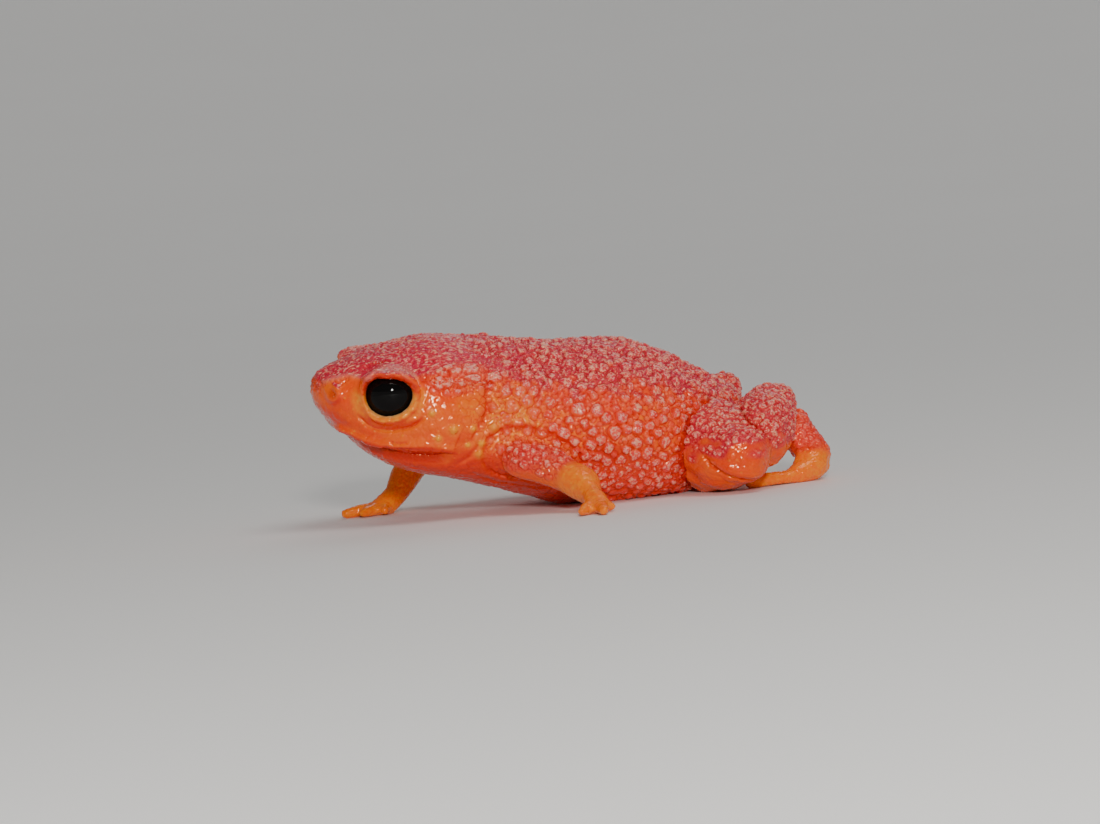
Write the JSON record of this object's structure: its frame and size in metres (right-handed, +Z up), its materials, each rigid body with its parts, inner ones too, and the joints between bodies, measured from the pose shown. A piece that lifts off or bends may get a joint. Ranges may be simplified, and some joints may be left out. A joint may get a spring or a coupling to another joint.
{
  "type": "pumpkin toadlet",
  "caption": "Tiny plump forest toadlet in mid step: blunt wedge head with large black eyes, barrel body with warty orange and pink skin, short bent limbs.",
  "frame": {"origin": "on the floor, at the centre of the footprint of the model's box", "axes": "the head points along -X, the left side faces -Y, +Z is up from the surface that the feet, hands, thigh and belly touch"},
  "size_m": [0.0202, 0.015, 0.0072],
  "materials": {
    "skin_head": "wet, orange at the sides and pink above",
    "skin_trunk": "wet and warty, orange-red with pink wart tops",
    "skin_arms": "wet, smooth orange",
    "skin_legs": "wet, pink above and orange below",
    "eye": "glossy black with a dark brown rim"
  },
  "bodies": {
    "root": {"head": "skin_head", "trunk": "skin_trunk", "eye_left": "eye", "eye_right": "eye", "upper_arm_left": "skin_arms", "forearm_left": "skin_arms", "hand_left": "skin_arms", "thigh_left": "skin_legs", "shank_left": "skin_legs", "tarsus_left": "skin_legs", "foot_left": "skin_legs", "upper_arm_right": "skin_arms", "forearm_right": "skin_arms", "hand_right": "skin_arms", "thigh_right": "skin_legs", "shank_right": "skin_legs", "tarsus_right": "skin_legs", "foot_right": "skin_legs"}
  },
  "joints": []
}
